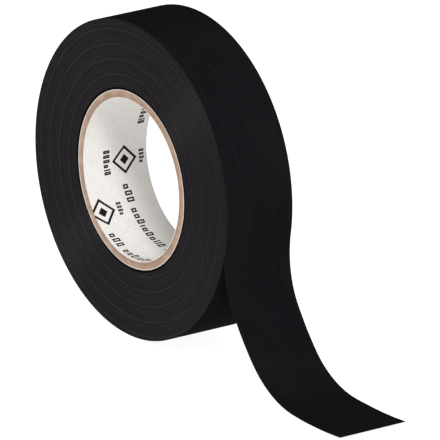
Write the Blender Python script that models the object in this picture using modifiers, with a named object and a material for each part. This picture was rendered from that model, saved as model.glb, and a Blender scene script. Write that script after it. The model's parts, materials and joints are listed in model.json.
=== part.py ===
"""Electrical tape roll: black PVC tape wound on a paperboard core, with a short free tail.

The roll stands on its rim on z = 0, with its axis along Y and its front side face at -Y. The tail leaves
the rim on the +X side, hangs down beside the roll, and curls out flat on the surface. The origin is on
that surface, under the middle of the overall length from the roll to the tail's end.
"""

import math

import bpy

# Driving dimensions, in metres
TAPE_WIDTH = 0.01905
TAPE_THICKNESS = 0.00018
ROLL_RADIUS = 0.039
CORE_OUTER_RADIUS = 0.0217
CORE_INNER_RADIUS = 0.01955

# The paper layers of the core's wall, from the bore outwards
LINER_THICKNESS = 0.00025
PLY_THICKNESS = 0.0004
WRAP_THICKNESS = 0.0002
PLY_NAMES = ("core_inner_ply", "core_middle_ply", "core_outer_ply")

# Clearances between solids that touch on the real roll
LAYER_GAP = 0.0001
HINGE_GAP = 0.0003

# The tail leaves the rim this far below the +X side and follows tangent arcs, each a length and a left turn
PEEL_ANGLE = math.radians(8.25)
TAIL_ARCS = (
    (0.017, math.radians(42)),
    (0.012, math.radians(10)),
    (0.018, math.radians(42.5)),
    (0.019, math.radians(9)),
)
# The distances along the tail at which it bends when it is lifted and pulled straight
TAIL_BENDS = (0.005, 0.016, 0.027, 0.038, 0.049)
TAIL_LENGTH = sum(length for length, turn in TAIL_ARCS)
TAIL_POINT_SPACING = 0.0015
# The outer turn stops this far short of the peel line, where the tail clears the turn below it
OUTER_TURN_END_GAP = 0.0034

# Facets round each turned piece; one facet lies flat at the bottom
FACETS = 96
FACET_ANGLE = 2 * math.pi / FACETS
AXIS_HEIGHT = ROLL_RADIUS * math.cos(FACET_ANGLE / 2)

PVC_BLACK = (0.012, 0.011, 0.012)
KRAFT_TAN = (0.42, 0.30, 0.20)
PAPER_WHITE = (0.78, 0.75, 0.70)


def clear_scene():
    """Remove every object that the open file holds."""
    for existing in list(bpy.data.objects):
        bpy.data.objects.remove(existing, do_unlink=True)


def make_material(name, colour, roughness):
    """A non-metallic Principled BSDF material."""
    material = bpy.data.materials.new(name)
    material.use_nodes = True
    shader = material.node_tree.nodes["Principled BSDF"]
    shader.inputs["Base Color"].default_value = (*colour, 1.0)
    shader.inputs["Roughness"].default_value = roughness
    shader.inputs["Metallic"].default_value = 0.0
    return material


def add_empty(name, location, parent=None):
    """An empty that carries the pieces parented to it."""
    empty = bpy.data.objects.new(name, None)
    empty.location = location
    empty.parent = parent
    roll_collection.objects.link(empty)
    return empty


def add_piece(name, data, material, parent, location, rotation):
    """Link a new object with its material into the roll's collection."""
    data.materials.append(material)
    piece = bpy.data.objects.new(name, data)
    piece.parent = parent
    piece.location = location
    piece.rotation_euler = rotation
    roll_collection.objects.link(piece)


def add_ring(name, inner_radius, outer_radius, material, axis):
    """A ring as wide as the tape, turned about the roll's axis, which an empty marks."""
    half_width = TAPE_WIDTH / 2
    section = [
        (outer_radius, 0, half_width),
        (outer_radius, 0, -half_width),
        (inner_radius, 0, -half_width),
        (inner_radius, 0, half_width),
    ]
    edges = [(0, 1), (1, 2), (2, 3), (3, 0)]
    mesh = bpy.data.meshes.new(name)
    mesh.from_pydata(section, edges, [])
    # The turning axis, local Z, is laid along Y; half a facet's spin puts a flat facet at the bottom
    add_piece(name, mesh, material, axis, (0, 0, 0), (-math.pi / 2, FACET_ANGLE / 2, 0))
    screw = bpy.data.objects[name].modifiers.new("turn", "SCREW")
    screw.axis = "Z"
    screw.angle = 2 * math.pi
    screw.steps = FACETS
    screw.render_steps = FACETS
    screw.use_merge_vertices = True
    screw.merge_threshold = 0.00001
    screw.use_smooth_shade = True


def add_strip(name, centre_line, pivot, material, base):
    """A length of tape along a centre line of (x, z, heading), with its origin at the (x, z) pivot."""
    half_thickness = TAPE_THICKNESS / 2
    left_side = []
    right_side = []
    for x, z, heading in centre_line:
        across_x = -math.sin(heading) * half_thickness
        across_z = math.cos(heading) * half_thickness
        left_side.append((x + across_x - pivot[0], z + across_z - pivot[1]))
        right_side.append((x - across_x - pivot[0], z - across_z - pivot[1]))
    outline = left_side + right_side[::-1]
    curve = bpy.data.curves.new(name, "CURVE")
    curve.dimensions = "2D"
    curve.fill_mode = "BOTH"
    curve.extrude = TAPE_WIDTH / 2
    spline = curve.splines.new("POLY")
    spline.points.add(len(outline) - 1)
    for point, (x, z) in zip(spline.points, outline):
        point.co = (x, z, 0, 1)
    spline.use_cyclic_u = True
    add_piece(name, curve, material, base, (pivot[0], 0, pivot[1]), (math.pi / 2, 0, 0))


def on_outer_turn(angle):
    """The outer turn's centre line at an angle up from +X, as (x, z, heading towards the peel line).

    Here and in on_tail, x is measured from the roll's axis.
    """
    radius = ROLL_RADIUS - TAPE_THICKNESS / 2
    x = radius * math.cos(angle)
    z = AXIS_HEIGHT + radius * math.sin(angle)
    return x, z, angle - math.pi / 2


def on_tail(distance):
    """The tail's centre line at a distance from the peel line, as (x, z, heading)."""
    x, z, heading = on_outer_turn(-PEEL_ANGLE)
    for length, turn in TAIL_ARCS:
        step = min(length, distance)
        distance -= step
        radius = length / turn
        turned = heading + step / radius
        x += radius * (math.sin(turned) - math.sin(heading))
        z -= radius * (math.cos(turned) - math.cos(heading))
        heading = turned
    return x, z, heading


def roll_axis_x():
    """The X of the roll's axis that centres the overall length on the origin."""
    tip_x, tip_z, heading = on_tail(TAIL_LENGTH)
    reach = tip_x + math.sin(heading) * TAPE_THICKNESS / 2
    return (AXIS_HEIGHT - reach) / 2


def build_roll_body(pvc, kraft, paper, base):
    """The pack of wound tape on its core, which turns as the tape is pulled off."""
    axis = add_empty("roll_axis", (0, 0, AXIS_HEIGHT), base)
    radius = CORE_INNER_RADIUS
    add_ring("core_liner", radius, radius + LINER_THICKNESS, paper, axis)
    radius += LINER_THICKNESS + LAYER_GAP
    for ply_name in PLY_NAMES:
        add_ring(ply_name, radius, radius + PLY_THICKNESS, kraft, axis)
        radius += PLY_THICKNESS + LAYER_GAP
    add_ring("core_wrap", radius, radius + WRAP_THICKNESS, paper, axis)
    pack_outer_radius = ROLL_RADIUS - TAPE_THICKNESS - LAYER_GAP
    add_ring("wound_pack", CORE_OUTER_RADIUS + LAYER_GAP, pack_outer_radius, pvc, axis)


def tail_stretch(start, stop):
    """Points along the tail's centre line between two distances."""
    steps = math.ceil((stop - start) / TAIL_POINT_SPACING)
    return [on_tail(start + (stop - start) * step / steps) for step in range(steps + 1)]


def build_outer_turn(pvc, base):
    """The last full turn of tape, from where it passes under the tail round to the tail's first bend."""
    first_angle = -PEEL_ANGLE
    last_angle = 2 * math.pi - PEEL_ANGLE - OUTER_TURN_END_GAP / ROLL_RADIUS
    corner_angles = [(corner + 0.5) * FACET_ANGLE for corner in range(-FACETS, 2 * FACETS)]
    inside = [angle for angle in corner_angles if first_angle < angle < last_angle]
    round_rim = [on_outer_turn(angle) for angle in (last_angle, *inside[::-1])]
    off_rim = tail_stretch(0, TAIL_BENDS[0] - HINGE_GAP / 2)
    add_strip("outer_turn", round_rim + off_rim, (0, AXIS_HEIGHT), pvc, base)


def build_tail(pvc, base):
    """The free tail, as stiff links that hinge where the tape bends."""
    stops = [bend - HINGE_GAP / 2 for bend in TAIL_BENDS[1:]] + [TAIL_LENGTH]
    for number, (bend, stop) in enumerate(zip(TAIL_BENDS, stops), start=1):
        hinge_x, hinge_z, heading = on_tail(bend)
        centre_line = tail_stretch(bend + HINGE_GAP / 2, stop)
        add_strip(f"tail_link_{number}", centre_line, (hinge_x, hinge_z), pvc, base)


clear_scene()
roll_collection = bpy.data.collections.new("electrical_tape_roll")
bpy.context.scene.collection.children.link(roll_collection)

pvc_material = make_material("pvc_tape", PVC_BLACK, 0.4)
kraft_material = make_material("kraft_paperboard", KRAFT_TAN, 0.9)
paper_material = make_material("white_paper", PAPER_WHITE, 0.8)

roll_base = add_empty("roll_base", (roll_axis_x(), 0, 0))
build_roll_body(pvc_material, kraft_material, paper_material, roll_base)
build_outer_turn(pvc_material, roll_base)
build_tail(pvc_material, roll_base)
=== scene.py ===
"""Looks of the electrical tape roll: its wound tape, paper core and free tail, with a camera and light.

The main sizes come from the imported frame, or repeat a driving dimension of the CAD part. Details that CAD
leaves out, such as ridges, print and soft edges, have their own named sizes. Metres throughout.
"""

import json
import math

import bmesh
import bpy
import numpy as np
from mathutils import Matrix, Vector


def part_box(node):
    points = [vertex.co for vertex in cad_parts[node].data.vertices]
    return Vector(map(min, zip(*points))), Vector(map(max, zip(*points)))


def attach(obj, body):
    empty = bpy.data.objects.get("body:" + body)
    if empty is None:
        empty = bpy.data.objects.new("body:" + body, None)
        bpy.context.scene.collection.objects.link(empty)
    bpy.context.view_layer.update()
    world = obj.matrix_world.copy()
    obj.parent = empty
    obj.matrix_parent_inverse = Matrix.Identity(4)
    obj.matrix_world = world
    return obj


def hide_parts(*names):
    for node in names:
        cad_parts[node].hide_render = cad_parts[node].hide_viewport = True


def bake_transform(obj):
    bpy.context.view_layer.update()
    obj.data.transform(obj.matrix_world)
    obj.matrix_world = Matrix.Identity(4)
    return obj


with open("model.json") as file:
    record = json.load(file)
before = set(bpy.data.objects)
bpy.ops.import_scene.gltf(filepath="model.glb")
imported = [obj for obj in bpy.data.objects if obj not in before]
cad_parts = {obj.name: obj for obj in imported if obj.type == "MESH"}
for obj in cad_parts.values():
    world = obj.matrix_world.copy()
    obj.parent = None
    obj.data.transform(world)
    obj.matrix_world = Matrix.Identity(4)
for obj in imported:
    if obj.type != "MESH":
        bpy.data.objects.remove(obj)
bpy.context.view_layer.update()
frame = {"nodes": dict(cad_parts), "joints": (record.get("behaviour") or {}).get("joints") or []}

# ---------------------------------------------------------------- sizes

# A point on the axis that the roll turns about, which runs along Y
AXIS = next(Vector(joint["pos_m"]) for joint in frame["joints"] if joint["name"] == "unwind")


def ring_radii(node):
    """The inner and outer radius of a turned CAD node about the roll's axis."""
    corners = [vertex.co for vertex in frame["nodes"][node].data.vertices]
    distances = [math.hypot(corner.x - AXIS.x, corner.z - AXIS.z) for corner in corners]
    return min(distances), max(distances)


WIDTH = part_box("wound_pack")[1].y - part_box("wound_pack")[0].y
HALF_WIDTH = WIDTH / 2
PACK_INNER_RADIUS = ring_radii("wound_pack")[0]
# The paper wrap's soft edge stands a little wider than its CAD ring
CORE_RADIUS = ring_radii("core_wrap")[1] + 0.00007
# The core is slightly oval, longest at this angle, and the turns on it are round from this radius out
OVAL_SIZE = 0.00021
OVAL_ANGLE = math.radians(110)
ROUND_RADIUS = 0.031

# The tape and its tail, as in the CAD part
TAPE_THICKNESS = 0.00018
PEEL_ANGLE = math.radians(8.25)
TAIL_ARCS = (
    (0.017, math.radians(42)),
    (0.012, math.radians(10)),
    (0.018, math.radians(42.5)),
    (0.019, math.radians(9)),
)
TAIL_LENGTH = sum(length for length, turn in TAIL_ARCS)

# The wound spiral grows by one tape thickness a turn, and touches the floor with its last turn
BOTTOM_TURN_SHARE = (1.5 * math.pi + PEEL_ANGLE) / (2 * math.pi)
PEEL_RADIUS = AXIS.z + TAPE_THICKNESS * BOTTOM_TURN_SHARE
LAST_TURN_LENGTH = 2 * math.pi * (PEEL_RADIUS - TAPE_THICKNESS)
LAST_TURN_INNER_RADIUS = PEEL_RADIUS - 2 * TAPE_THICKNESS
# What must not touch is this far apart: the pack and the last turn, the pack's sides and the tape's edges,
# and the roll and the floor
CLEARANCE = 0.00002
PACK_OUTER_RADIUS = LAST_TURN_INNER_RADIUS - CLEARANCE
PACK_TURNS = round((PACK_OUTER_RADIUS - PACK_INNER_RADIUS) / TAPE_THICKNESS)

# ---------------------------------------------------------------- mesh helpers

ROUND_STEPS = 240


def new_object(name, vertices, faces, materials):
    """A smooth-shaded mesh object from arrays, with its face normals made to point out."""
    mesh = bpy.data.meshes.new(name)
    mesh.from_pydata([tuple(vertex) for vertex in vertices], [], faces)
    for material in materials:
        mesh.materials.append(material)
    edit = bmesh.new()
    edit.from_mesh(mesh)
    bmesh.ops.recalc_face_normals(edit, faces=edit.faces)
    edit.to_mesh(mesh)
    edit.free()
    mesh.shade_smooth()
    piece = bpy.data.objects.new(name, mesh)
    bpy.context.scene.collection.objects.link(piece)
    return piece


def sweep(name, loops, materials, closed=False, loop_materials=None):
    """A closed solid through a row of equal loops of points, which come back to the first if closed.

    loop_materials is the material number of each side of a loop.
    """
    rows = len(loops)
    around = len(loops[0])
    faces = []
    for row in range(rows if closed else rows - 1):
        here = row * around
        there = (row + 1) % rows * around
        for corner in range(around):
            following = (corner + 1) % around
            faces.append((here + corner, here + following, there + following, there + corner))
    side_count = len(faces)
    if not closed:
        faces.append(tuple(range(around)))
        faces.append(tuple(range((rows - 1) * around, rows * around)))
    piece = new_object(name, np.concatenate(loops), faces, materials)
    if loop_materials:
        for number in range(side_count):
            piece.data.polygons[number].material_index = loop_materials[number % around]
    return piece


def add_attribute(piece, name, kind, values):
    """Store one value for each vertex, for the materials to read."""
    attribute = piece.data.attributes.new(name, kind, "POINT")
    field = "vector" if kind == "FLOAT_VECTOR" else "value"
    attribute.data.foreach_set(field, np.asarray(values, np.float32).ravel())


def smoothstep(value, low, high):
    """0 below low, 1 above high, and a smooth rise between them."""
    share = np.clip((value - low) / (high - low), 0, 1)
    return share * share * (3 - 2 * share)


def smooth_noise(count, spacing, seed):
    """Random values from -1 to 1 that change smoothly over about `spacing` steps."""
    random = np.random.default_rng(seed)
    knots = random.uniform(-1, 1, count // spacing + 3)
    places = np.arange(count) / spacing
    low = places.astype(int)
    rise = smoothstep(places - low, 0, 1)
    return knots[low] * (1 - rise) + knots[low + 1] * rise


def around_axis(radius, y, angle):
    """Points at a distance and angle about the roll's axis, made oval at the core."""
    squeeze = OVAL_SIZE * (1 - smoothstep(radius, CORE_RADIUS, ROUND_RADIUS))
    radius = radius + squeeze * np.cos(2 * (angle - OVAL_ANGLE))
    x = AXIS.x + radius * np.cos(angle)
    z = AXIS.z + radius * np.sin(angle)
    return np.stack(np.broadcast_arrays(x, y, z), axis=-1)


# ---------------------------------------------------------------- material helpers


def new_material(name, colour, roughness, specular):
    """A Principled material, returned with its node tree and shader."""
    material = bpy.data.materials.new(name)
    material.use_nodes = True
    tree = material.node_tree
    shader = tree.nodes["Principled BSDF"]
    shader.inputs["Base Color"].default_value = (*colour, 1)
    shader.inputs["Roughness"].default_value = roughness
    shader.inputs["Specular IOR Level"].default_value = specular
    return material, tree, shader


def noise(tree, vector, scale, detail=3, roughness=0.55):
    """A noise texture's value over a vector socket."""
    texture = tree.nodes.new("ShaderNodeTexNoise")
    texture.inputs["Scale"].default_value = scale
    texture.inputs["Detail"].default_value = detail
    texture.inputs["Roughness"].default_value = roughness
    tree.links.new(vector, texture.inputs["Vector"])
    return texture.outputs["Fac"]


def spread(tree, value, low, high, new_low, new_high):
    """Map a value's range from low..high to new_low..new_high, clamped."""
    mapping = tree.nodes.new("ShaderNodeMapRange")
    mapping.inputs["From Min"].default_value = low
    mapping.inputs["From Max"].default_value = high
    mapping.inputs["To Min"].default_value = new_low
    mapping.inputs["To Max"].default_value = new_high
    tree.links.new(value, mapping.inputs["Value"])
    return mapping.outputs["Result"]


def blend_colours(tree, share, first, second):
    """Mix two colours, each a socket or a tuple, by a share socket."""
    mix = tree.nodes.new("ShaderNodeMix")
    mix.data_type = "RGBA"
    tree.links.new(share, mix.inputs[0])
    for socket, colour in ((mix.inputs[6], first), (mix.inputs[7], second)):
        if isinstance(colour, tuple):
            socket.default_value = (*colour, 1)
        else:
            tree.links.new(colour, socket)
    return mix.outputs[2]


def stretched(tree, vector, scale):
    """A vector socket multiplied by three factors."""
    product = tree.nodes.new("ShaderNodeVectorMath")
    product.operation = "MULTIPLY"
    product.inputs[1].default_value = scale
    tree.links.new(vector, product.inputs[0])
    return product.outputs["Vector"]


def attribute(tree, name, output):
    """An output of a stored attribute: Vector or Fac."""
    node = tree.nodes.new("ShaderNodeAttribute")
    node.attribute_name = name
    return node.outputs[output]


def bumps(tree, shader, layers):
    """Chain bump nodes over (height socket, strength, distance) layers into a shader's normal."""
    normal = None
    for height, strength, distance in layers:
        bump = tree.nodes.new("ShaderNodeBump")
        bump.inputs["Strength"].default_value = strength
        bump.inputs["Distance"].default_value = distance
        tree.links.new(height, bump.inputs["Height"])
        if normal:
            tree.links.new(normal, bump.inputs["Normal"])
        normal = bump.outputs["Normal"]
    tree.links.new(normal, shader.inputs["Normal"])


def place_on_object(tree):
    """The place on the object, in metres from the roll's axis at mid width."""
    coordinates = tree.nodes.new("ShaderNodeTexCoord")
    shift = tree.nodes.new("ShaderNodeVectorMath")
    shift.operation = "SUBTRACT"
    shift.inputs[1].default_value = AXIS
    tree.links.new(coordinates.outputs["Object"], shift.inputs[0])
    return shift.outputs["Vector"]


def ring_place(tree, radial_scale, round_scale):
    """A vector that changes fast with the distance from the axis and slowly round it, for ring streaks."""
    place = place_on_object(tree)
    flat = stretched(tree, place, (1, 0, 1))
    length = tree.nodes.new("ShaderNodeVectorMath")
    length.operation = "LENGTH"
    tree.links.new(flat, length.inputs[0])
    direction = tree.nodes.new("ShaderNodeVectorMath")
    direction.operation = "NORMALIZE"
    tree.links.new(flat, direction.inputs[0])
    scaled = tree.nodes.new("ShaderNodeMath")
    scaled.operation = "MULTIPLY"
    scaled.inputs[1].default_value = radial_scale
    tree.links.new(length.outputs["Value"], scaled.inputs[0])
    radial = tree.nodes.new("ShaderNodeCombineXYZ")
    tree.links.new(scaled.outputs["Value"], radial.inputs["Y"])
    round_part = stretched(tree, direction.outputs["Vector"], (round_scale, 0, round_scale))
    total = tree.nodes.new("ShaderNodeVectorMath")
    total.operation = "ADD"
    tree.links.new(round_part, total.inputs[0])
    tree.links.new(radial.outputs["Vector"], total.inputs[1])
    return total.outputs["Vector"]


# ---------------------------------------------------------------- materials


def vinyl_film():
    """Black calendered PVC film: satin, with a fine grain and faint streaks along the tape."""
    material, tree, shader = new_material("vinyl_film", (0.0075, 0.0072, 0.0085), 0.5, 0.03)
    place = attribute(tree, "tape_place", "Vector")
    cloud = spread(tree, noise(tree, place, 45, detail=2), 0.5, 0.74, 0, 1)
    film = blend_colours(tree, cloud, (0.0068, 0.0058, 0.0074), (0.0076, 0.0081, 0.0090))
    streaks = noise(tree, stretched(tree, place, (60, 1800, 1)), 1)
    streaked = blend_colours(tree, spread(tree, streaks, 0.5, 0.8, 0, 0.6), film, (0.0125, 0.0120, 0.0138))
    tree.links.new(streaked, shader.inputs["Base Color"])
    tree.links.new(spread(tree, streaks, 0.25, 0.75, 0.40, 0.52), shader.inputs["Roughness"])
    grain = noise(tree, place, 4200, detail=2)
    bumps(tree, shader, [(grain, 0.5, 0.00004), (streaks, 0.3, 0.00002)])
    return material


def adhesive():
    """The rubber adhesive coat: nearly black, glossier than the film, and slightly uneven."""
    material, tree, shader = new_material("adhesive", (0.006, 0.005, 0.0045), 0.25, 0.15)
    place = attribute(tree, "tape_place", "Vector")
    patches = noise(tree, stretched(tree, place, (500, 900, 1)), 1)
    tree.links.new(spread(tree, patches, 0.3, 0.7, 0.20, 0.36), shader.inputs["Roughness"])
    coat = blend_colours(tree, patches, (0.0045, 0.0040, 0.0037), (0.0080, 0.0072, 0.0066))
    tree.links.new(coat, shader.inputs["Base Color"])
    bumps(tree, shader, [(patches, 0.3, 0.00003)])
    return material


def slit_edge():
    """The knife-cut edges of the tape: duller and greyer than the film, streaked along each turn.

    The turns' edges work as fine grooves, so their sheen spreads across them. The crests of the spiral
    ridges carry a painted highlight.
    """
    material, tree, shader = new_material("slit_edge", (0.015, 0.014, 0.0155), 0.4, 0.36)
    shader.inputs["Anisotropic"].default_value = 0.85
    place = place_on_object(tree)
    # The slitter's marks lean a little from straight across the turns
    lean = tree.nodes.new("ShaderNodeVectorRotate")
    lean.rotation_type = "Y_AXIS"
    lean.inputs["Angle"].default_value = math.radians(8)
    tree.links.new(stretched(tree, place, (1, 0, 1)), lean.inputs["Vector"])
    tree.links.new(lean.outputs["Vector"], shader.inputs["Tangent"])
    streaks = noise(tree, ring_place(tree, 3200, 60), 1, detail=4, roughness=0.7)
    bands = noise(tree, ring_place(tree, 900, 2), 1, detail=3)
    dark, light = (0.0085, 0.0073, 0.0090), (0.0212, 0.0190, 0.0222)
    base = blend_colours(tree, spread(tree, streaks, 0.3, 0.7, 0, 1), dark, light)
    banded = blend_colours(tree, spread(tree, bands, 0.5, 0.8, 0, 0.5), base, (0.022, 0.0200, 0.0226))
    # The stored value: up to 1 on the ridges' crests for their painted highlight, and -1 on the first turns
    # on the core
    ridge_highlight_and_core_tone = attribute(tree, "ridge_highlight_and_core_tone", "Fac")
    # Painted highlight: the crests of the spiral ridges get a paler edge colour, standing in for the light
    # they catch
    ridge_highlighted = blend_colours(tree, spread(tree, ridge_highlight_and_core_tone, 0, 1, 0, 1), banded, (0.034, 0.0318, 0.0344))
    darker = blend_colours(tree, spread(tree, ridge_highlight_and_core_tone, -1, 0, 1, 0), ridge_highlighted, (0.0015, 0.0015, 0.0015))
    tree.links.new(darker, shader.inputs["Base Color"])
    tree.links.new(spread(tree, ridge_highlight_and_core_tone, -1, 0, 0.9, 0.45), shader.inputs["Roughness"])
    grit = noise(tree, place, 9000, detail=2)
    bumps(tree, shader, [(grit, 0.3, 0.00002)])
    return material


def kraft_board(name, brightness):
    """The cut end of tan paperboard, with fibres, blotches and small specks."""

    def tan(*colour):
        """A colour at this board's brightness."""
        return tuple(brightness * part for part in colour)

    material, tree, shader = new_material(name, tan(0.42, 0.29, 0.21), 0.9, 0.1)
    place = place_on_object(tree)
    fibres = noise(tree, ring_place(tree, 5000, 120), 1, detail=4, roughness=0.65)
    cloud = noise(tree, place, 350, detail=4)
    specks = noise(tree, place, 5500, detail=2)
    blotches = noise(tree, place, 260, detail=2)
    fibre_share = spread(tree, fibres, 0.3, 0.7, 0, 1)
    cloud_share = spread(tree, cloud, 0.45, 0.65, 0, 0.7)
    blotch_share = spread(tree, blotches, 0.5, 0.66, 0, 0.55)
    speck_share = spread(tree, specks, 0.62, 0.72, 0, 0.6)
    base = blend_colours(tree, fibre_share, tan(0.32, 0.208, 0.147), tan(0.48, 0.335, 0.252))
    clouded = blend_colours(tree, cloud_share, base, tan(0.54, 0.39, 0.30))
    blotched = blend_colours(tree, blotch_share, clouded, tan(0.35, 0.24, 0.172))
    speckled = blend_colours(tree, speck_share, blotched, tan(0.26, 0.17, 0.11))
    tree.links.new(speckled, shader.inputs["Base Color"])
    bumps(tree, shader, [(fibres, 0.5, 0.00005), (specks, 0.3, 0.00003)])
    return material


def pale_paper(name, colour, shade):
    """Smooth pale paper with a soft mottle."""
    material, tree, shader = new_material(name, colour, 0.75, 0.3)
    place = place_on_object(tree)
    mottle = noise(tree, place, 900, detail=4, roughness=0.6)
    cloud = noise(tree, place, 120, detail=2)
    mottled = blend_colours(tree, spread(tree, mottle, 0.3, 0.7, 0, 1), colour, shade)
    clouded = blend_colours(tree, spread(tree, cloud, 0.3, 0.8, 0, 0.5), mottled, shade)
    tree.links.new(clouded, shader.inputs["Base Color"])
    fibres = noise(tree, place, 4500, detail=3)
    bumps(tree, shader, [(fibres, 0.35, 0.00003), (mottle, 0.2, 0.00005)])
    return material


def printing_ink():
    """Black print on the liner, a little worn."""
    material, tree, shader = new_material("printing_ink", (0.01, 0.01, 0.011), 0.6, 0.1)
    wear = noise(tree, place_on_object(tree), 5000, detail=3)
    worn = spread(tree, wear, 0.58, 0.8, 0, 0.4)
    ink = blend_colours(tree, worn, (0.009, 0.009, 0.010), (0.10, 0.097, 0.095))
    tree.links.new(ink, shader.inputs["Base Color"])
    return material


FILM = vinyl_film()
ADHESIVE = adhesive()
EDGE = slit_edge()
INNER_KRAFT = kraft_board("inner_kraft", 0.88)
MIDDLE_KRAFT = kraft_board("middle_kraft", 1.0)
OUTER_KRAFT = kraft_board("outer_kraft", 1.03)
LINER_PAPER = pale_paper("liner_paper", (0.75, 0.727, 0.704), (0.675, 0.648, 0.62))
WRAP_PAPER = pale_paper("wrap_paper", (0.80, 0.73, 0.65), (0.68, 0.59, 0.51))
INK = printing_ink()

# ---------------------------------------------------------------- the wound pack

# How far the pack's turns dip between one tape edge and the next
GROOVE_DEPTH = 0.00002
# The tape's edge weaves in step with its turns, so a faint ridge spirals out over each side face, and its
# crest carries a painted highlight.
# The ridge's radius grows by the pitch in each round of the angle, and its middle is off the roll's axis.
RIDGE_PITCH = 0.0037
RIDGE_START = 0.02795
RIDGE_OFFSET = 0.00055
RIDGE_OFFSET_ANGLE = math.radians(32)
RIDGE_HALF_WIDTH = 0.00012
# The ridge is strongest at this angle, and this share weaker on the other side
RIDGE_STRONG_ANGLE = math.radians(190)
RIDGE_FADE = 0.4
# Each ridge's height and its place in the pitch
RIDGES = ((0.00005, 0), (0.000018, 0.30), (0.000010, 0.53))


def proudness(radius, angle):
    """How far each point of a side face stands proud on the ridges."""
    angle = angle % (2 * math.pi)
    shift = RIDGE_OFFSET * np.cos(angle - RIDGE_OFFSET_ANGLE)
    turns = (radius - RIDGE_START - shift) / RIDGE_PITCH - angle / (2 * math.pi)
    height = np.zeros_like(radius)
    for rise, place in RIDGES:
        distance = (turns - place + 0.5) % 1 - 0.5
        height += rise * np.exp(-((distance * RIDGE_PITCH / RIDGE_HALF_WIDTH) ** 2))
    weaker = RIDGE_FADE * (1 - np.cos(angle - RIDGE_STRONG_ANGLE)) / 2
    return height * (1 - weaker)


# The slow wander of the tape's edge, over a third of a turn and over three turns
SHORT_WANDER = 0.000010
LONG_WANDER = 0.000022
# The first turns on the core, up to this radius with a soft border, are darker and a little lower
CORE_TURNS_RADIUS = PACK_INNER_RADIUS + 0.0004
CORE_TURNS_BORDER = 0.00005
CORE_TURNS_DROP = 0.00002
# The side faces are very slightly dished, from this radius down to the core
DISH_RADIUS = 0.0365
DISH_DEPTH = 0.00017


def spiral_side(side, seed):
    """One side face's vertices, and each one's painted ridge highlight and first-turn value: spiral
    grooves, spiral crowns, then the two round borders.
    """
    count = PACK_TURNS * ROUND_STEPS
    step = np.arange(count + 1)
    angle = -PEEL_ANGLE - 2 * math.pi * step / ROUND_STEPS
    pitch = (PACK_OUTER_RADIUS - PACK_INNER_RADIUS) / PACK_TURNS
    radius = PACK_INNER_RADIUS + pitch * step / ROUND_STEPS
    wander = SHORT_WANDER * smooth_noise(count + 1, ROUND_STEPS // 3, seed)
    wander += LONG_WANDER * smooth_noise(count + 1, 3 * ROUND_STEPS, seed + 1)
    crown_count = count - ROUND_STEPS + 1
    crown_radius = radius[:crown_count] + pitch / 2
    crown_angle = angle[:crown_count]
    border_angle = angle[:ROUND_STEPS]
    radii = np.concatenate([
        radius, crown_radius,
        np.full(ROUND_STEPS, CORE_RADIUS), np.full(ROUND_STEPS, PACK_OUTER_RADIUS),
    ])
    angles = np.concatenate([angle, crown_angle, border_angle, border_angle])
    border_start = CORE_TURNS_RADIUS - CORE_TURNS_BORDER
    near_core = 1 - smoothstep(radii, border_start, CORE_TURNS_RADIUS + CORE_TURNS_BORDER)
    rise = proudness(radii, angles)
    # Painted highlight: the edge colour turns paler in step with each ridge's height, for the light the
    # crests catch; the first turns on the core take -1
    ridge_highlight_and_core_tone = rise / RIDGES[0][0] * (1 - near_core) - near_core
    level = np.concatenate([
        wander - GROOVE_DEPTH, wander[:crown_count],
        np.full(2 * ROUND_STEPS, -GROOVE_DEPTH),
    ])
    level += rise - CORE_TURNS_DROP * near_core
    level -= DISH_DEPTH * (1 - smoothstep(radii, CORE_TURNS_RADIUS, DISH_RADIUS))
    y = side * (HALF_WIDTH - CLEARANCE + level)
    return around_axis(radii, y, angles), ridge_highlight_and_core_tone


def spiral_faces(offset):
    """The faces of one side face of the pack, over spiral_side's vertices."""
    count = PACK_TURNS * ROUND_STEPS
    crowns = offset + count + 1
    inner = crowns + count - ROUND_STEPS + 1
    outer = inner + ROUND_STEPS
    inner_border = [offset] + [inner + step for step in range(1, ROUND_STEPS)]
    outer_border = [offset + count] + [outer + step for step in range(1, ROUND_STEPS)]
    faces = []
    for step in range(count - ROUND_STEPS):
        groove, crown = offset + step, crowns + step
        next_groove = groove + ROUND_STEPS
        faces.append((groove, groove + 1, crown + 1, crown))
        faces.append((crown, crown + 1, next_groove + 1, next_groove))
    # Wedges fill in between the spiral's ends and the round borders
    last_turn = offset + count - ROUND_STEPS
    last = ROUND_STEPS - 1
    faces.append((inner_border[0], inner_border[1], offset + 1))
    last_crown = crowns + count - ROUND_STEPS
    faces.append((last_turn, last_turn + 1, outer_border[1], outer_border[0], last_crown))
    for step in range(1, last):
        faces.append((inner_border[step], inner_border[step + 1], offset + step + 1, offset + step))
        faces.append((last_turn + step, last_turn + step + 1, outer_border[step + 1], outer_border[step]))
    faces.append((inner_border[last], inner_border[0], crowns, offset + ROUND_STEPS, offset + last))
    faces.append((last_turn + last, outer_border[0], outer_border[last]))
    return faces, inner_border, outer_border


def make_pack():
    """The wound turns under the last one, as one spiral seen from both sides."""
    front, front_highlight_and_tone = spiral_side(-1, 11)
    back, back_highlight_and_tone = spiral_side(1, 23)
    front_faces, front_inner, front_outer = spiral_faces(0)
    back_faces, back_inner, back_outer = spiral_faces(len(front))
    faces = front_faces + back_faces
    for front_border, back_border in ((front_inner, back_inner), (front_outer, back_outer)):
        for step in range(ROUND_STEPS):
            following = (step + 1) % ROUND_STEPS
            front_edge = (front_border[step], front_border[following])
            faces.append((*front_edge, back_border[following], back_border[step]))
    pack = new_object("wound_turns", np.concatenate([front, back]), faces, [EDGE])
    # Each vertex's painted ridge highlight and first-turn value, for the edge material
    add_attribute(pack, "ridge_highlight_and_core_tone", "FLOAT", np.concatenate([front_highlight_and_tone, back_highlight_and_tone]))
    pack.data.set_sharp_from_angle(angle=math.radians(60))
    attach(pack, "roll")
    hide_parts("wound_pack")


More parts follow.
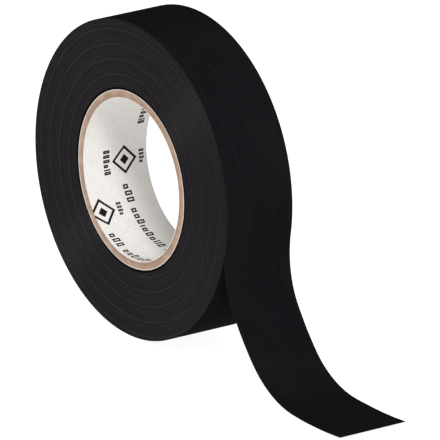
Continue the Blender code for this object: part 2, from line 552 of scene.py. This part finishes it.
# ---------------------------------------------------------------- the last turn and the tail

# The front edge of the tail stands this far out from the roll, and the back edge as far in
TAIL_SKEW = 0.00045
# The skew grows between the first two distances along the tail, and goes again between the last two
SKEW_GROWS = (0.002, 0.018)
SKEW_GOES = (0.030, 0.054)
EDGE_ROUNDING = 0.00003
STRIP_COLUMNS = 12
# The last turn's strip runs this far into the tail, where the first strip of the tail takes over
TAIL_START = 0.002
# The places of a strip's three materials
FILM_NUMBER, ADHESIVE_NUMBER, EDGE_NUMBER = 0, 1, 2


def on_tape(distance):
    """The tape's centre line at a distance past the peel line, as (x, z, heading).

    A negative distance is on the last turn, back round the rim.
    """
    turned_back = max(0, -distance) / LAST_TURN_LENGTH
    angle = 2 * math.pi * turned_back - PEEL_ANGLE
    radius = PEEL_RADIUS - TAPE_THICKNESS * (turned_back + 0.5)
    x = AXIS.x + radius * math.cos(angle)
    z = AXIS.z + radius * math.sin(angle)
    heading = angle - math.pi / 2
    left = max(0, distance)
    for length, turn in TAIL_ARCS:
        step = min(length, left)
        left -= step
        arc_radius = length / turn
        turned = heading + step / arc_radius
        x += arc_radius * (math.sin(turned) - math.sin(heading))
        z -= arc_radius * (math.cos(turned) - math.cos(heading))
        heading = turned
    return x, z, heading


def tape_section():
    """The tape's section as (place across, share of the half thickness), -1 to 1, and its materials."""
    inset = EDGE_ROUNDING / HALF_WIDTH
    across = [-1 + inset, *np.linspace(-1, 1, STRIP_COLUMNS + 1)[1:-1], 1 - inset]
    film_side = [(place, 1) for place in across]
    adhesive_side = [(place, -1) for place in reversed(across)]
    section = [(-1, 0.6), *film_side, (1, 0.6), (1, -0.6), *adhesive_side, (-1, -0.6)]
    flat_sides = len(across) - 1
    edge = [EDGE_NUMBER] * 3
    film, coat = [FILM_NUMBER] * flat_sides, [ADHESIVE_NUMBER] * flat_sides
    materials = [EDGE_NUMBER, *film, *edge, *coat, *edge[1:]]
    return section, materials


def tape_strip(name, start, stop, spacing):
    """A closed strip of tape between two distances along its path, film side out."""
    section, section_materials = tape_section()
    loops = []
    places = []
    for distance in np.linspace(start, stop, math.ceil((stop - start) / spacing) + 1):
        x, z, heading = on_tape(distance)
        out_x, out_z = -math.sin(heading), math.cos(heading)
        skew = TAIL_SKEW * smoothstep(distance, *SKEW_GROWS) * (1 - smoothstep(distance, *SKEW_GOES))
        loop = []
        for across, share in section:
            offset = share * TAPE_THICKNESS / 2 - across * skew
            loop.append((x + out_x * offset, across * HALF_WIDTH, z + out_z * offset))
            places.append((distance, across * HALF_WIDTH, 0))
        loops.append(loop)
    strip = sweep(name, loops, [FILM, ADHESIVE, EDGE], loop_materials=section_materials)
    add_attribute(strip, "tape_place", "FLOAT_VECTOR", places)
    strip.data.set_sharp_from_angle(angle=math.radians(35))
    return strip


def make_outer_turn():
    """The last turn round the rim, with the start of the tail, and the wedge of the turn below it."""
    turn = tape_strip("last_turn", -LAST_TURN_LENGTH, TAIL_START, 0.001)
    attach(turn, "outer_turn")
    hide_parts("outer_turn")
    end = HALF_WIDTH - CLEARANCE
    loops = []
    for step in range(ROUND_STEPS):
        share = step / ROUND_STEPS
        angle = 2 * math.pi * share - PEEL_ANGLE
        outer = PEEL_RADIUS - TAPE_THICKNESS * (1 + share)
        corners = [(LAST_TURN_INNER_RADIUS, -1), (outer, -1), (outer, 1), (LAST_TURN_INNER_RADIUS, 1)]
        loops.append([
            (AXIS.x + radius * math.cos(angle), side * end, AXIS.z + radius * math.sin(angle))
            for radius, side in corners
        ])
    wedge = sweep("turn_below", loops, [EDGE])
    wedge.data.set_sharp_from_angle(angle=math.radians(35))
    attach(wedge, "outer_turn")


def along_path(distance):
    """The point on the tape's centre line at a distance past the peel line."""
    x, z, _ = on_tape(distance)
    return x, 0, z


def make_tail():
    """The free tail, cut half way between its bends into separate strips."""
    # Each strip runs from one cut to the next
    cuts = [TAIL_START, 0.0105, 0.0215, 0.0325, 0.0435, TAIL_LENGTH]
    bend_ends = [0.008, *cuts[2:5], 0.056]
    for number in range(1, 6):
        start, stop = cuts[number - 1], cuts[number]
        strip = tape_strip(f"tail_{number}_tape", start, stop, 0.0005)
        along_path(start)
        along_path(bend_ends[number - 1])
        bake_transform(strip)
        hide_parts(f"tail_link_{number}")


# ---------------------------------------------------------------- the paper core

# The core's ends are set back this far from the tape's edges
CORE_RECESS = 0.00021
# The ends go in and out by about this much
END_WAVE = 0.00002
# The liner's paper is this much thinner than its CAD ring
LINER_SHAVING = 0.00012


def rounded_corner(radius, end, rounding, turn_out):
    """Four points round a ring's corner, from its end face to its wall.

    turn_out is 1 at the outer wall and -1 at the inner one.
    """
    points = []
    for turn in np.linspace(0, math.pi / 2, 4):
        inset = turn_out * rounding * (1 - math.sin(turn))
        points.append((radius - inset, end - rounding * (1 - math.cos(turn))))
    return points


def paper_ring(name, node, inner, outer, recess, rounding, material, seed):
    """A ring of paper between two radii in place of a CAD ring, with soft edges and slightly wavy ends."""
    random = np.random.default_rng(seed)
    waves = [(count, random.uniform(0, 2 * math.pi)) for count in (2, 5, 9, 17)]
    loops = []
    for step in range(ROUND_STEPS):
        angle = 2 * math.pi * step / ROUND_STEPS
        wave = sum(math.sin(count * angle + phase) / count for count, phase in waves)
        end = HALF_WIDTH - recess + END_WAVE * wave
        profile = rounded_corner(outer, end, rounding, 1)[::-1]
        profile += rounded_corner(inner, end, rounding, -1)
        profile += [(radius, -y) for radius, y in reversed(profile)]
        radii, across = np.transpose(profile)
        loops.append(around_axis(radii, across, angle))
    paper = sweep(name, loops, [material], closed=True)
    paper.data.set_sharp_from_angle(angle=math.radians(50))
    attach(paper, "roll")
    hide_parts(node)


def make_core():
    """The liner, three kraft plies and the pale wrap, each filled out to meet the next."""
    # Each ring's name, CAD node, further recess, edge rounding, material and slot
    rings = (
        ("liner_tube", "core_liner", 0.00003, 0.00006, LINER_PAPER, "liner_paper"),
        ("inner_ply_tube", "core_inner_ply", 0.00002, 0.00004, INNER_KRAFT, "kraft_paperboard"),
        ("middle_ply_tube", "core_middle_ply", 0.00001, 0.00004, MIDDLE_KRAFT, "kraft_paperboard"),
        ("outer_ply_tube", "core_outer_ply", 0.00001, 0.00004, OUTER_KRAFT, "kraft_paperboard"),
        ("wrap_tube", "core_wrap", 0.00003, 0.00006, WRAP_PAPER, "core_paper"),
    )
    borders = [ring_radii(ring[1])[0] for ring in rings] + [CORE_RADIUS]
    borders[1] -= LINER_SHAVING
    for number, (name, node, recess, rounding, material, slot) in enumerate(rings):
        inner, outer = borders[number], borders[number + 1]
        paper_ring(name, node, inner, outer, CORE_RECESS + recess, rounding, material, 40 + number)


# ---------------------------------------------------------------- the print on the liner

BORE_RADIUS = ring_radii("core_liner")[0]
INK_THICKNESS = 0.00002
# The print stops this far from the liner's ends
PRINT_MARGIN = 0.00008
# Marks repeat in slanted rows: each row starts this far on round the bore and this far nearer the front
ROW_ANGLE = math.radians(34)
ROW_STEP = 0.00945
FIRST_ROW_ANGLE = math.radians(154)
FIRST_ROW_PLACE = 0.01205
ROW_COUNT = 3
MARK_SIZE = 0.0072
MARK_LINE = 0.0006
MARK_MIDDLE_SIZE = 0.0026


def bar(left, right, low, high):
    """The corners of a rectangle."""
    return [(left, low), (right, low), (right, high), (left, high)]


def diamond_mark():
    """A plain open diamond with a small solid one in it, as polygons round (0, 0)."""
    corners = [(1, 0), (0, 1), (-1, 0), (0, -1)]
    outer = [(MARK_SIZE / 2 * x, MARK_SIZE / 2 * y) for x, y in corners]
    inner_size = MARK_SIZE / 2 - MARK_LINE * math.sqrt(2)
    inner = [(inner_size * x, inner_size * y) for x, y in corners]
    shapes = []
    for side in range(4):
        following = (side + 1) % 4
        shapes.append([outer[side], outer[following], inner[following], inner[side]])
    shapes.append([(MARK_MIDDLE_SIZE / 2 * x, MARK_MIDDLE_SIZE / 2 * y) for x, y in corners])
    return shapes


def box_words(start, middle, words, height, pitch, seed):
    """A row of open boxes and ticks in place of words: polygons from a start, along the row's middle line.

    words is how many boxes or ticks each word has, and pitch is how far apart the boxes are.
    """
    random = np.random.default_rng(seed)
    line = 0.2 * height
    low = middle - height / 2
    shapes = []
    place = start
    for box_count in words:
        for _ in range(box_count):
            right = place + 0.68 * pitch
            high = low + height * random.choice((0.7, 1.0))
            if random.random() < 0.3:
                shapes.append(bar(place, place + line, low, high))
                place += 0.5 * pitch
                continue
            shapes.append(bar(place, place + line, low, high))
            shapes.append(bar(right - line, right, low, high))
            shapes.append(bar(place + line, right - line, low, low + line))
            shapes.append(bar(place + line, right - line, high - line, high))
            place += pitch
        place += 0.7 * pitch
    return shapes


def make_print():
    """Generic black marks on the liner: diamonds and rows of open boxes and ticks, with no lettering."""
    unit = diamond_mark()
    unit += box_words(-0.0031, -0.0052, (6,), 0.00185, 0.00117, 4)
    unit += box_words(-0.0017, 0.0050, (4,), 0.0014, 0.0009, 4)
    unit += box_words(0.0060, -0.0006, (3, 10, 4), 0.00205, 0.00168, 6)
    edit = bmesh.new()
    for row in range(ROW_COUNT):
        start = BORE_RADIUS * (FIRST_ROW_ANGLE + ROW_ANGLE * row)
        place = FIRST_ROW_PLACE - ROW_STEP * row
        for polygon in unit:
            corners = [edit.verts.new((start + along, place + across, 0)) for along, across in polygon]
            edit.faces.new(corners)

    def cut(point, normal, clear):
        """Cut the flat marks along a plane, and drop what lies past it if clear."""
        geometry = edit.verts[:] + edit.edges[:] + edit.faces[:]
        bmesh.ops.bisect_plane(edit, geom=geometry, plane_co=point, plane_no=normal, clear_outer=clear)

    limit = HALF_WIDTH - PRINT_MARGIN
    cut((0, limit, 0), (0, 1, 0), True)
    cut((0, -limit, 0), (0, -1, 0), True)
    for step in range(ROUND_STEPS * 2):
        cut((BORE_RADIUS * 2 * math.pi * step / ROUND_STEPS, 0, 0), (1, 0, 0), False)
    raised = bmesh.ops.extrude_face_region(edit, geom=edit.faces[:])
    for item in raised["geom"]:
        if isinstance(item, bmesh.types.BMVert):
            item.co.z = 1
    for vertex in edit.verts:
        angle = vertex.co.x / BORE_RADIUS
        radius = BORE_RADIUS + INK_THICKNESS * (0.5 - vertex.co.z)
        vertex.co = around_axis(radius, vertex.co.y, angle)
    mesh = bpy.data.meshes.new("liner_print")
    bmesh.ops.recalc_face_normals(edit, faces=edit.faces)
    edit.to_mesh(mesh)
    edit.free()
    mesh.materials.append(INK)
    ink = bpy.data.objects.new("liner_print", mesh)
    bpy.context.scene.collection.objects.link(ink)
    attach(ink, "roll")


# ---------------------------------------------------------------- the studio

CAMERA_AZIMUTH = math.radians(53.47)
CAMERA_ELEVATION = math.radians(19.69)
CAMERA_ROLL = math.radians(1.13)
CAMERA_DISTANCE = 2.5
CAMERA_LENS = 860.1
# The camera looks at a point this far right of the roll's centre, and below it, in its own view
AIM_RIGHT = 0.01367
AIM_DOWN = 0.01122


def add_camera():
    """The camera, a long lens that looks down on the roll's front side and its tail."""
    sin_a, cos_a = math.sin(CAMERA_AZIMUTH), math.cos(CAMERA_AZIMUTH)
    sin_e, cos_e = math.sin(CAMERA_ELEVATION), math.cos(CAMERA_ELEVATION)
    forward = Vector((-sin_a * cos_e, cos_a * cos_e, -sin_e))
    level_right = Vector((cos_a, sin_a, 0))
    level_up = level_right.cross(forward)
    right = math.cos(CAMERA_ROLL) * level_right + math.sin(CAMERA_ROLL) * level_up
    up = right.cross(forward)
    data = bpy.data.cameras.new("camera")
    data.lens = CAMERA_LENS
    data.clip_start = 0.1
    data.clip_end = 10
    camera = bpy.data.objects.new("camera", data)
    camera.matrix_world = Matrix((right, up, -forward)).transposed().to_4x4()
    camera.location = AXIS + AIM_RIGHT * right - AIM_DOWN * up - CAMERA_DISTANCE * forward
    bpy.context.scene.collection.objects.link(camera)
    bpy.context.scene.camera = camera


def add_area_light(name, direction, distance, size, power):
    """A square soft light that stands off in a direction and points at the roll."""
    data = bpy.data.lights.new(name, "AREA")
    data.size = size
    data.energy = power
    light = bpy.data.objects.new(name, data)
    towards = Vector(direction).normalized()
    light.location = AXIS + towards * distance
    light.rotation_mode = "QUATERNION"
    light.rotation_quaternion = towards.to_track_quat("Z", "Y")
    bpy.context.scene.collection.objects.link(light)


# The sky lights less brightly than the white backdrop that the camera sees, and reflects dimmer still
SKY_STRENGTH = 0.53
BACKDROP_STRENGTH = 1.0
REFLECTED_STRENGTH = 0.045


def add_studio():
    """A white light-table floor under a soft white sky, with one soft key light."""
    bpy.ops.mesh.primitive_circle_add(vertices=64, radius=8, fill_type="NGON", location=(0, 0, -CLEARANCE))
    floor = bpy.context.object
    floor.name = "floor"
    material, _, shader = new_material("white_floor", (0.3, 0.3, 0.3), 0.9, 0.1)
    shader.inputs["Emission Color"].default_value = (1, 1, 1, 1)
    shader.inputs["Emission Strength"].default_value = 0.95
    floor.data.materials.append(material)
    floor.visible_glossy = False
    world = bpy.data.worlds.new("studio")
    world.use_nodes = True
    nodes = world.node_tree.nodes
    links = world.node_tree.links
    path = nodes.new("ShaderNodeLightPath")
    nodes["Background"].inputs["Color"].default_value = (1, 1, 1, 1)
    strength = None
    for ray, seen in (("Is Camera Ray", BACKDROP_STRENGTH), ("Is Glossy Ray", REFLECTED_STRENGTH)):
        total = nodes.new("ShaderNodeMath")
        total.operation = "MULTIPLY_ADD"
        total.inputs[1].default_value = seen - SKY_STRENGTH
        total.inputs[2].default_value = SKY_STRENGTH
        links.new(path.outputs[ray], total.inputs[0])
        if strength:
            links.new(strength, total.inputs[2])
        strength = total.outputs["Value"]
    links.new(strength, nodes["Background"].inputs["Strength"])
    bpy.context.scene.world = world
    add_area_light("key", direction=(0.61, -0.32, 0.72), distance=1.3, size=0.3, power=11.7)
    bpy.context.scene.view_settings.view_transform = "Standard"


# ---------------------------------------------------------------- the model

make_pack()
make_outer_turn()
make_tail()
make_core()
make_print()
add_studio()
add_camera()
